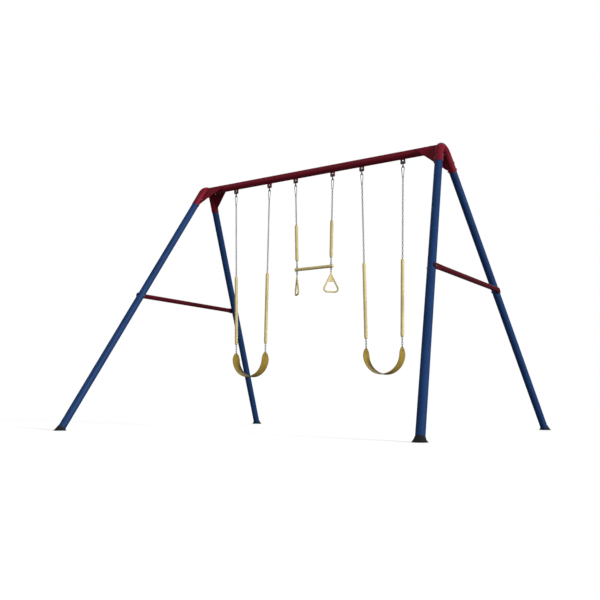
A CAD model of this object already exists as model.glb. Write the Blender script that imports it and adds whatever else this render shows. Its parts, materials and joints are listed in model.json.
"""Looks of the swing set.

Every part gets a material, and the belts, grips, boots and ring handles get detailed meshes.
"""
import json
import math

import bpy
import numpy as np
from mathutils import Matrix, Vector

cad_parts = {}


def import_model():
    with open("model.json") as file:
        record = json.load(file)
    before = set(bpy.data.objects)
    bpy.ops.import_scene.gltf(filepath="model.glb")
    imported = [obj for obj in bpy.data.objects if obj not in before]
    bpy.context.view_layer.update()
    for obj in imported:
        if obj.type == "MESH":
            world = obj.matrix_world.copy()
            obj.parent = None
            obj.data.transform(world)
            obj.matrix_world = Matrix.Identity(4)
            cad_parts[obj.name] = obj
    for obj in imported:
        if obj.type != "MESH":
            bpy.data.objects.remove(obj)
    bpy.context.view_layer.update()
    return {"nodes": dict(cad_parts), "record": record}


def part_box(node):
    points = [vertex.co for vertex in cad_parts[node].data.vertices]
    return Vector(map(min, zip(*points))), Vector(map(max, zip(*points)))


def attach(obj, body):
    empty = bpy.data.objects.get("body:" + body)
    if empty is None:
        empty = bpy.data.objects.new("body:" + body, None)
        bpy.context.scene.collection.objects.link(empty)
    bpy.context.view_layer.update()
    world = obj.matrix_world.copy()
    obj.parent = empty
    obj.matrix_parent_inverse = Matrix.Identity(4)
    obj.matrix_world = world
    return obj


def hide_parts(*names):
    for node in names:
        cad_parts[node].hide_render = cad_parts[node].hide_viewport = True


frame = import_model()

NODES = frame["nodes"]
MM = 0.001
SIDES = ("left", "right")
ENDS = ("front", "rear")

# Camera: a low standpoint to the front and right, lens and sensor in millimetres
SENSOR = 36.0
LENS = 45.80
CAMERA_PLACE = Vector((4.5497, -7.3952, 0.2986))
CAMERA_YAW = math.radians(32.641)
CAMERA_PITCH = math.radians(7.707)
CAMERA_ROLL = math.radians(0.218)

# Stage: suns as (name, strength, soft angle, azimuth, elevation), angles in degrees; an azimuth
# is 0 for a light that shines from -Y and counts towards +X
SUNS = (("key", 3.9, 18, 81, 14), ("fill", 0.95, 60, -30, 20), ("back", 0.90, 60, 205, 35))
STUDIO_GREY = (0.17, 0.175, 0.18)
FLOOR_HALF = 60.0
# The floor's colour to the camera, its colour to bounced light, and its glow to the camera
FLOOR_SEEN = (0.92, 0.92, 0.92)
FLOOR_BOUNCE = (0.25, 0.25, 0.25)
FLOOR_GLOW = 0.36

# Paint: a height between the cross braces and all the other red parts, how soft the change of
# shade is there, and how dark the braces are against the others
BRACE_TOP = 1.8
BRACE_FADE = 0.1
BRACE_SHADE = 0.42

# Belt seats
BELT_T = 9 * MM
BELT_NOSE = 95 * MM
BELT_NOSE_R = 104 * MM
BELT_STEP = 2.4 * MM
BELT_END = 10 * MM
RIB_PITCH = 12 * MM
RIB_H = 0.7 * MM
RIM_H = 1.0 * MM
RIM_IN = 6.5 * MM
RIM_WIDTH = 3.0 * MM
# Distances, from an end or a side of the belt, over which the rim and the ribs rise to full height
RIM_FROM_END = (30 * MM, 75 * MM)
RIB_FROM_END = (140 * MM, 170 * MM)
RIB_FROM_SIDE = (13 * MM, 18 * MM)
# The part of each wave, from trough to crest, that makes a rib's flank
RIB_FLANK = (0.25, 0.60)

# Grips
GRIP_BORE_R = 11.5 * MM
GRIP_R = 19 * MM
GRIP_NOSE = 32 * MM
GRIP_LIP = 1.6 * MM
GRIP_SEAM = 0.35 * MM
GRIP_SWAY = 0.25 * MM
GRIP_SWAY_RATE = 23
GRIP_STEP = 10 * MM
GRIP_PLAIN_END = 30 * MM
GRIP_TURNS = 48

# Foot boots
BOOT_COLLAR_R = 46.25 * MM
BOOT_H = 40 * MM
BOOT_SOLE_H = 7 * MM
BOOT_FLUTE = 0.9 * MM
BOOT_FLUTES = 12
BOOT_TURNS = 96
# The skirt starts at a share of the sole's radius, sweeps in by a share and a length, and ends
# a little below the collar's top
BOOT_SKIRT_R = 0.965
BOOT_SWEEP = 0.42
BOOT_SWEEP_IN = 4 * MM
BOOT_SKIRT_END = -3 * MM
BOOT_SKIRT_RINGS = 16
# The sole's outline from its middle, (share of its radius, height), and the collar's lip,
# (radius beyond the collar's, distance up the leg)
BOOT_SOLE = ((0.0, 0.0), (0.6, 0.0), (0.93, 0.0), (0.975, 0.0006), (1.0, 0.0028),
             (1.0, 0.0052), (0.985, 0.0070))
BOOT_LIP = ((0.0, -0.0026), (0.0008, -0.0022), (0.0013, -0.0015), (0.0010, -0.0006),
            (-0.0004, 0.0), (-0.0030, -0.0002), (-0.0046, -0.0012), (-0.0046, -0.010))

# Ring handles
RING_VOXEL = 1.3 * MM
RING_SOFTENING = 12


# ---- Small helpers ----

def smoothstep(low, high, value):
    t = np.clip((value - low) / (high - low), 0.0, 1.0)
    return t * t * (3 - 2 * t)


def points_of(node):
    """The node's vertices, in metres."""
    mesh = NODES[node].data
    co = np.zeros(len(mesh.vertices) * 3)
    mesh.vertices.foreach_get("co", co)
    return co.reshape(-1, 3)


def rod_ends(points):
    """Centres of the lower and the upper end face of a long round piece."""
    order = points[np.argsort(points[:, 2])]
    few = max(4, len(points) // 50)
    along = order[-few:].mean(0) - order[:few].mean(0)
    for _ in range(3):
        along = along / np.linalg.norm(along)
        reach = points @ along
        low = points[reach < reach.min() + MM]
        high = points[reach > reach.max() - MM]
        low_centre = (low.min(0) + low.max(0)) / 2
        high_centre = (high.min(0) + high.max(0)) / 2
        along = high_centre - low_centre
    return Vector(low_centre), Vector(high_centre)


def add_piece(name, points, faces, slot, body, replaced):
    """A smooth mesh piece with the slot's material, riding on a body in place of a CAD node."""
    mesh = bpy.data.meshes.new(name)
    mesh.from_pydata([tuple(p) for p in points], [], faces)
    mesh.validate()
    mesh.polygons.foreach_set("use_smooth", [True] * len(mesh.polygons))
    mesh.materials.append(materials[slot])
    piece = bpy.data.objects.new(name, mesh)
    bpy.context.scene.collection.objects.link(piece)
    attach(piece, body)
    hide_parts(replaced)
    return piece


def ring_faces(rings, count, closed=False):
    """Quads between rings of count points each; closed joins the last ring to the first."""
    faces = []
    for i in range(rings if closed else rings - 1):
        a, b = i * count, (i + 1) % rings * count
        for j in range(count):
            k = (j + 1) % count
            faces.append((a + j, a + k, b + k, b + j))
    return faces


# ---- Materials ----

class Shader:
    """A material under construction, with short calls for the nodes that the finishes share."""

    def __init__(self, name, roughness, metallic=0.0, specular=0.5):
        self.material = bpy.data.materials.new(name)
        self.material.use_nodes = True
        self.tree = self.material.node_tree
        self.bsdf = self.tree.nodes["Principled BSDF"]
        self.bsdf.inputs["Roughness"].default_value = roughness
        self.bsdf.inputs["Metallic"].default_value = metallic
        self.bsdf.inputs["Specular IOR Level"].default_value = specular
        self.place = self.tree.nodes.new("ShaderNodeTexCoord").outputs["Object"]
        self.bumped = None

    def link(self, a, b):
        self.tree.links.new(a, b)

    def height(self):
        node = self.tree.nodes.new("ShaderNodeSeparateXYZ")
        self.link(self.place, node.inputs["Vector"])
        return node.outputs["Z"]

    def noise(self, scale, detail=3.0):
        node = self.tree.nodes.new("ShaderNodeTexNoise")
        node.inputs["Scale"].default_value = scale
        node.inputs["Detail"].default_value = detail
        self.link(self.place, node.inputs["Vector"])
        return node.outputs["Fac"]

    def cells(self, scale, feature="F1"):
        node = self.tree.nodes.new("ShaderNodeTexVoronoi")
        node.feature = feature
        node.inputs["Scale"].default_value = scale
        self.link(self.place, node.inputs["Vector"])
        return node.outputs["Distance"]

    def range(self, value, low, high, to_low, to_high):
        """A value mapped from low..high to to_low..to_high, and held there beyond."""
        node = self.tree.nodes.new("ShaderNodeMapRange")
        node.inputs["From Min"].default_value = low
        node.inputs["From Max"].default_value = high
        node.inputs["To Min"].default_value = to_low
        node.inputs["To Max"].default_value = to_high
        self.link(value, node.inputs["Value"])
        return node.outputs["Result"]

    def mix(self, fac, a, b):
        """A colour between a and b; each is a colour or another node's output."""
        node = self.tree.nodes.new("ShaderNodeMix")
        node.data_type = "RGBA"
        self.link(fac, node.inputs["Factor"])
        for value, socket in ((a, node.inputs[6]), (b, node.inputs[7])):
            if isinstance(value, tuple):
                socket.default_value = (*value, 1)
            else:
                self.link(value, socket)
        return node.outputs[2]

    def colour(self, output):
        self.link(output, self.bsdf.inputs["Base Color"])

    def roughness(self, output):
        self.link(output, self.bsdf.inputs["Roughness"])

    def bump(self, height, strength, distance):
        """Raises the surface by a height, on top of any bump before."""
        node = self.tree.nodes.new("ShaderNodeBump")
        node.inputs["Strength"].default_value = strength
        node.inputs["Distance"].default_value = distance
        self.link(height, node.inputs["Height"])
        if self.bumped:
            self.link(self.bumped, node.inputs["Normal"])
        self.bumped = node.outputs["Normal"]
        self.link(self.bumped, self.bsdf.inputs["Normal"])


def scaled(colour, factor):
    """The colour made brighter or darker."""
    return tuple(c * factor for c in colour)


def powder_coat(name, colour, brace_shade=1.0):
    """Satin powder coat: orange peel, faint cloudiness and a thin veil of dust.

    The cross braces, which stand below all the other red parts, are a shade darker.
    """
    s = Shader(name, 0.50, specular=0.07)
    cloud = s.range(s.noise(5.0), 0.3, 0.7, 0.0, 1.0)
    dust = s.range(s.noise(38.0, 6.0), 0.52, 0.78, 0.0, 0.10)
    paint = s.mix(cloud, scaled(colour, 0.88), scaled(colour, 1.12))
    dusty = s.mix(dust, paint, tuple(0.85 * c + 0.004 for c in colour))
    if brace_shade < 1.0:
        high = s.range(s.height(), BRACE_TOP, BRACE_TOP + BRACE_FADE, 0.0, 1.0)
        dusty = s.mix(high, scaled(colour, brace_shade), dusty)
    s.colour(dusty)
    s.roughness(s.range(s.noise(60.0, 4.0), 0.3, 0.7, 0.42, 0.56))
    s.bump(s.noise(520.0, 2.0), 0.16, 0.0006)
    s.bump(s.noise(95.0, 2.0), 0.10, 0.0012)
    return s.material


def zinc_plate(name, colour, roughness):
    """Zinc-plated steel: small spangles, soft stains and fine drawing marks."""
    s = Shader(name, roughness, metallic=1.0)
    spangle = s.range(s.cells(420.0), 0.0, 0.9, 0.0, 1.0)
    stain = s.range(s.noise(46.0, 5.0), 0.40, 0.72, 0.0, 1.0)
    bright = s.mix(spangle, scaled(colour, 0.90), scaled(colour, 1.08))
    s.colour(s.mix(stain, bright, scaled(colour, 0.72)))
    s.roughness(s.range(s.noise(160.0, 5.0), 0.3, 0.7, roughness - 0.07, roughness + 0.12))
    s.bump(s.noise(1400.0, 3.0), 0.12, 0.0003)
    return s.material


def soft_vinyl(name, colour, roughness=0.46, grain=900.0):
    """Soft coloured plastic: leather-fine grain, mottled tint and slightly grubby patches."""
    s = Shader(name, roughness)
    tint = s.range(s.noise(14.0, 4.0), 0.3, 0.7, 0.0, 1.0)
    grub = s.range(s.noise(75.0, 6.0), 0.55, 0.80, 0.0, 0.5)
    base = s.mix(tint, scaled(colour, 0.93), scaled(colour, 1.05))
    s.colour(s.mix(grub, base, tuple(a * b for a, b in zip(colour, (0.78, 0.72, 0.60)))))
    s.roughness(s.range(s.noise(120.0, 3.0), 0.3, 0.7, roughness - 0.06, roughness + 0.08))
    s.bump(s.cells(grain, "SMOOTH_F1"), 0.22, 0.0004)
    s.bsdf.inputs["Subsurface Weight"].default_value = 0.05
    s.bsdf.inputs["Subsurface Radius"].default_value = (0.004, 0.003, 0.0015)
    return s.material


def moulded_rubber(name, colour, roughness=0.62):
    """Rubber with a pebbled skin, a dry bloom and darker, rubbed patches."""
    s = Shader(name, roughness, specular=0.2)
    patch = s.range(s.noise(16.0, 5.0), 0.35, 0.70, 0.0, 1.0)
    bloom = s.range(s.noise(210.0, 6.0), 0.50, 0.75, 0.0, 0.35)
    base = s.mix(patch, scaled(colour, 0.86), scaled(colour, 1.10))
    s.colour(s.mix(bloom, base, tuple(0.9 * c + 0.012 for c in colour)))
    s.roughness(s.range(s.noise(90.0, 4.0), 0.3, 0.7, roughness - 0.08, roughness + 0.10))
    s.bump(s.cells(650.0), 0.35, 0.0006)
    s.bump(s.noise(60.0, 3.0), 0.12, 0.0015)
    return s.material


PALE_YELLOW = (0.560, 0.455, 0.185)
ZINC = (0.175, 0.178, 0.182)
materials = {
    "red_paint": powder_coat("red_paint", (0.148, 0.0070, 0.0175), BRACE_SHADE),
    "blue_paint": powder_coat("blue_paint", (0.011, 0.036, 0.115)),
    "boot_rubber": moulded_rubber("boot_rubber", (0.010, 0.010, 0.0105)),
    "bushing_nylon": soft_vinyl("bushing_nylon", (0.020, 0.020, 0.022), 0.40),
    "grip_vinyl": soft_vinyl("grip_vinyl", PALE_YELLOW),
    "belt_rubber": moulded_rubber("belt_rubber", (0.270, 0.185, 0.028), 0.56),
    "bar_coating": soft_vinyl("bar_coating", scaled(PALE_YELLOW, 1.15), 0.42),
    "bar_cap_plastic": soft_vinyl("bar_cap_plastic", PALE_YELLOW, 0.38),
    "ring_plastic": soft_vinyl("ring_plastic", PALE_YELLOW, 0.40, 1200.0),
    "chain_zinc": zinc_plate("chain_zinc", scaled(ZINC, 0.65), 0.36),
    "clip_zinc": zinc_plate("clip_zinc", scaled(ZINC, 0.65), 0.34),
    "pendulum_zinc": zinc_plate("pendulum_zinc", scaled(ZINC, 0.9), 0.40),
    "eye_zinc": zinc_plate("eye_zinc", scaled(ZINC, 1.4), 0.36),
    "plate_steel": zinc_plate("plate_steel", scaled(ZINC, 1.4), 0.42),
    "bolt_zinc": zinc_plate("bolt_zinc", scaled(ZINC, 2.2), 0.36),
}


def dress_cad_nodes():
    """Gives every CAD node the material of its slot in the record."""
    for part in frame["record"]["subparts"]:
        mesh = NODES[part["node"]].data
        mesh.materials.clear()
        mesh.materials.append(materials[part["material_slot"]])


# ---- Belt seats ----

def belt_half_width(z, top, width):
    """Half of the belt's width at a height: full, then drawn in to a leaf-shaped point."""
    above = np.maximum(z - (top - BELT_NOSE), 0.0)
    drawn_in = np.sqrt(BELT_NOSE_R ** 2 - above ** 2) - (BELT_NOSE_R - width / 2)
    return np.where(above > 0, drawn_in, width / 2)


def belt_seat(side):
    """A moulded rubber belt: bull-nosed edges with a raised rim and ribs across the seat."""
    node = f"{side}_swing_belt"
    low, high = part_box(node)
    radius = (high.x - low.x) / 2 - BELT_T / 2
    centre_x, centre_z = (low.x + high.x) / 2, low.z + BELT_T / 2 + radius
    straight = high.z - centre_z
    length = math.pi * radius + 2 * straight
    across = np.concatenate([np.linspace(0, 0.10, 7)[:-1], np.linspace(0.10, 0.90, 34),
                             np.linspace(0.90, 1.0, 7)[1:]]) * 2 - 1
    stations = np.concatenate([np.linspace(0, BELT_END, 7)[:-1],
                               np.arange(BELT_END, length - BELT_END, BELT_STEP),
                               length - np.linspace(BELT_END, 0, 7)])
    points, count = [], 2 * len(across) - 2
    for s in stations:
        if s < straight:
            place, normal = (-radius, high.z - centre_z - s), (-1.0, 0.0)
        elif s > length - straight:
            place, normal = (radius, s - (length - straight)), (1.0, 0.0)
        else:
            angle = math.pi + (s - straight) / radius
            normal = (math.cos(angle), math.sin(angle))
            place = (radius * normal[0], radius * normal[1])
        half = float(belt_half_width(np.array(centre_z + place[1]), high.z, high.y - low.y))
        y = across * half
        from_side = half - np.abs(y)
        from_end = min(s, length - s)
        inward = np.clip(np.minimum(from_side, from_end + 0.0001) / (BELT_T / 2), 0, 1)
        edge = np.sqrt(1 - (1 - inward) ** 2)
        flat = smoothstep(*RIM_FROM_END, from_end)
        rim = RIM_H * flat * np.exp(-((from_side - RIM_IN) / RIM_WIDTH) ** 2)
        phase = 2 * math.pi * (s - length / 2) / RIB_PITCH
        wave = smoothstep(*RIB_FLANK, 0.5 + 0.5 * math.cos(phase))
        seat = smoothstep(*RIB_FROM_END, from_end) * smoothstep(*RIB_FROM_SIDE, from_side)
        top_h = edge * BELT_T / 2 + rim + RIB_H * wave * seat
        low_h = edge * BELT_T / 2 + rim
        for y_at, h in zip(y, top_h):
            points.append((centre_x + place[0] - normal[0] * h, (low.y + high.y) / 2 + y_at,
                           centre_z + place[1] - normal[1] * h))
        for y_at, h in zip(y[-2:0:-1], low_h[-2:0:-1]):
            points.append((centre_x + place[0] + normal[0] * h, (low.y + high.y) / 2 + y_at,
                           centre_z + place[1] + normal[1] * h))
    faces = ring_faces(len(stations), count)
    last = (len(stations) - 1) * count
    faces.append(tuple(range(count - 1, -1, -1)))
    faces.append(tuple(range(last, last + count)))
    return add_piece(f"{side}_belt_seat", points, faces, "belt_rubber", f"{side}_seat", node)


# ---- Grips ----

def grip_profile(length):
    """Closed half section of a grip, (radius, height above its lower end), with rolled lips."""
    lip = GRIP_LIP
    flare = GRIP_R - GRIP_BORE_R - lip
    outer = [(GRIP_BORE_R + lip + flare * math.sin(a), GRIP_NOSE * (1 - math.cos(a)))
             for a in np.linspace(0, math.pi / 2, 14)]
    low_lip = [(GRIP_BORE_R + lip / 2 - lip / 2 * math.cos(a), lip / 2 - lip / 2 * math.sin(a))
               for a in np.linspace(0, math.pi, 7)[:-1]]
    low = low_lip + [(r, z + lip / 2) for r, z in outer]
    middle = [(GRIP_R, z) for z in np.arange(
        GRIP_NOSE + GRIP_STEP, length - GRIP_NOSE - GRIP_STEP / 2, GRIP_STEP)]
    high = [(r, length - z) for r, z in reversed(low)]
    return low + middle + high


def grips(owner, body):
    """Soft sleeves round the chains, each with two moulding seams and slightly uneven walls."""
    node = f"{owner}_grips"
    cloud = points_of(node)
    middle = (cloud[:, 0].min() + cloud[:, 0].max()) / 2
    turns = GRIP_TURNS
    points, faces = [], []
    for sign in (-1, 1):
        low, high = rod_ends(cloud[(cloud[:, 0] - middle) * sign > 0])
        along = (high - low).normalized()
        across = Vector((1, 0, 0)) - along * along.x
        across.normalize()
        square = along.cross(across)
        length = (high - low).length
        profile = grip_profile(length)
        start = len(points)
        for r, z in profile:
            proud = smoothstep(0.0, GRIP_PLAIN_END, min(z, length - z)) * (r > GRIP_R - MM)
            for k in range(turns):
                angle = 2 * math.pi * k / turns
                seam = GRIP_SEAM * proud * (k % (turns // 2) == 0)
                sway = GRIP_SWAY * proud * math.sin(GRIP_SWAY_RATE * z + 2 * angle)
                out = across * math.cos(angle) + square * math.sin(angle)
                points.append(low + along * z + out * (r + seam + sway))
        faces += [tuple(i + start for i in f) for f in ring_faces(len(profile), turns, True)]
    return add_piece(f"{owner}_soft_grips", points, faces, "grip_vinyl", body, node)


# ---- Foot boots ----

def boot(side, end):
    """A moulded boot: a round sole, a fluted skirt that sweeps up the leg, a collar with a lip."""
    node = f"{side}_{end}_foot"
    low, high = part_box(node)
    mount = next(m for m in frame["record"]["mounts"] if m["name"] == f"{node}_base")
    base = Vector(mount["pos_m"])
    foot_low, leg_top = rod_ends(points_of(f"{side}_{end}_leg"))
    along = (leg_top - foot_low).normalized()
    centre = base + along * BOOT_H
    across = (Vector((1, 0, 0)) - along * along.x).normalized()
    square = along.cross(across)
    sole_r = abs(base.x - (low.x if side == "left" else high.x))
    turns = BOOT_TURNS

    def on_base(angle, r, z):
        return Vector((base.x + r * math.cos(angle), base.y + r * math.sin(angle), z))

    def on_collar(angle, r, up):
        return centre + along * up + (across * math.cos(angle) + square * math.sin(angle)) * r

    angles = [2 * math.pi * k / turns for k in range(turns)]
    rings = [[on_base(angle, max(sole_r * share, 0.001), z) for angle in angles]
             for share, z in BOOT_SOLE]
    for t in np.linspace(0.06, 1.0, BOOT_SKIRT_RINGS):
        ring = []
        for angle in angles:
            out = Vector((math.cos(angle), math.sin(angle), 0))
            a = on_base(angle, sole_r * BOOT_SKIRT_R, BOOT_SOLE_H)
            c = on_collar(angle, BOOT_COLLAR_R, BOOT_SKIRT_END)
            b = a.lerp(c, BOOT_SWEEP) - out * BOOT_SWEEP_IN
            flute = BOOT_FLUTE * math.sin(math.pi * t) * math.cos(BOOT_FLUTES * angle)
            ring.append(a * (1 - t) ** 2 + b * 2 * t * (1 - t) + c * t * t + out * flute)
        rings.append(ring)
    rings += [[on_collar(angle, BOOT_COLLAR_R + r, up) for angle in angles] for r, up in BOOT_LIP]
    points = [p for ring in rings for p in ring]
    faces = ring_faces(len(rings), turns)
    last = (len(rings) - 1) * turns
    faces.append(tuple(range(turns - 1, -1, -1)))
    faces.append(tuple(range(last, last + turns)))
    return add_piece(f"{node}_boot", points, faces, "boot_rubber", "frame", node)


# ---- Ring handles ----

def ring_handle(side):
    """The CAD handle's shape with its joints moulded into soft fillets."""
    node = f"{side}_ring_handle"
    piece = bpy.data.objects.new(f"{side}_moulded_ring", NODES[node].data.copy())
    bpy.context.scene.collection.objects.link(piece)
    remesh = piece.modifiers.new("melt", "REMESH")
    remesh.mode = "VOXEL"
    remesh.voxel_size = RING_VOXEL
    remesh.use_smooth_shade = True
    soften = piece.modifiers.new("soften", "SMOOTH")
    soften.factor = 0.5
    soften.iterations = RING_SOFTENING
    bpy.context.view_layer.update()
    graph = bpy.context.evaluated_depsgraph_get()
    mesh = bpy.data.meshes.new_from_object(piece.evaluated_get(graph))
    piece.modifiers.clear()
    piece.data = mesh
    mesh.polygons.foreach_set("use_smooth", [True] * len(mesh.polygons))
    mesh.materials.clear()
    mesh.materials.append(materials["ring_plastic"])
    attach(piece, f"{side}_ring")
    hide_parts(node)
    return piece


# ---- Stage ----

def camera():
    data = bpy.data.cameras.new("camera")
    data.sensor_width = SENSOR
    data.lens = LENS
    data.clip_end = 100
    item = bpy.data.objects.new("camera", data)
    turn = (Matrix.Rotation(CAMERA_YAW, 4, "Z")
            @ Matrix.Rotation(math.pi / 2 + CAMERA_PITCH, 4, "X")
            @ Matrix.Rotation(CAMERA_ROLL, 4, "Z"))
    item.matrix_world = Matrix.Translation(CAMERA_PLACE) @ turn
    bpy.context.scene.collection.objects.link(item)
    bpy.context.scene.camera = item


def sun(name, strength, soft_angle, azimuth, elevation):
    data = bpy.data.lights.new(name, "SUN")
    data.energy = strength
    data.angle = math.radians(soft_angle)
    item = bpy.data.objects.new(name, data)
    a, e = math.radians(azimuth), math.radians(elevation)
    source = Vector((math.sin(a) * math.cos(e), -math.cos(a) * math.cos(e), math.sin(e)))
    item.rotation_euler = source.to_track_quat("Z", "Y").to_euler()
    bpy.context.scene.collection.objects.link(item)


def world():
    """White where the camera looks past the object; a dimmer, even studio grey as light."""
    w = bpy.data.worlds.new("studio")
    bpy.context.scene.world = w
    w.use_nodes = True
    tree = w.node_tree
    back = tree.nodes["Background"]
    rays = tree.nodes.new("ShaderNodeLightPath")
    mix = tree.nodes.new("ShaderNodeMix")
    mix.data_type = "RGBA"
    mix.inputs[6].default_value = (*STUDIO_GREY, 1)
    mix.inputs[7].default_value = (1, 1, 1, 1)
    tree.links.new(rays.outputs["Is Camera Ray"], mix.inputs["Factor"])
    tree.links.new(mix.outputs[2], back.inputs["Color"])


def floor():
    """A pale floor that throws back little light, so that undersides stay dark."""
    half = FLOOR_HALF
    mesh = bpy.data.meshes.new("floor")
    corners = [(-half, -half, 0), (half, -half, 0), (half, half, 0), (-half, half, 0)]
    mesh.from_pydata(corners, [], [(0, 1, 2, 3)])
    item = bpy.data.objects.new("floor", mesh)
    bpy.context.scene.collection.objects.link(item)
    s = Shader("floor", 0.9, specular=0.1)
    rays = s.tree.nodes.new("ShaderNodeLightPath")
    s.colour(s.mix(rays.outputs["Is Camera Ray"], FLOOR_BOUNCE, FLOOR_SEEN))
    s.bsdf.inputs["Emission Color"].default_value = (1, 1, 1, 1)
    s.link(s.range(rays.outputs["Is Camera Ray"], 0.0, 1.0, 0.0, FLOOR_GLOW),
           s.bsdf.inputs["Emission Strength"])
    mesh.materials.append(s.material)


camera()
world()
floor()
for values in SUNS:
    sun(*values)
bpy.context.scene.view_settings.view_transform = "Standard"

dress_cad_nodes()
for side in SIDES:
    belt_seat(side)
    grips(f"{side}_swing", f"{side}_swing")
    ring_handle(side)
    for end in ENDS:
        boot(side, end)
grips("trapeze", "trapeze")
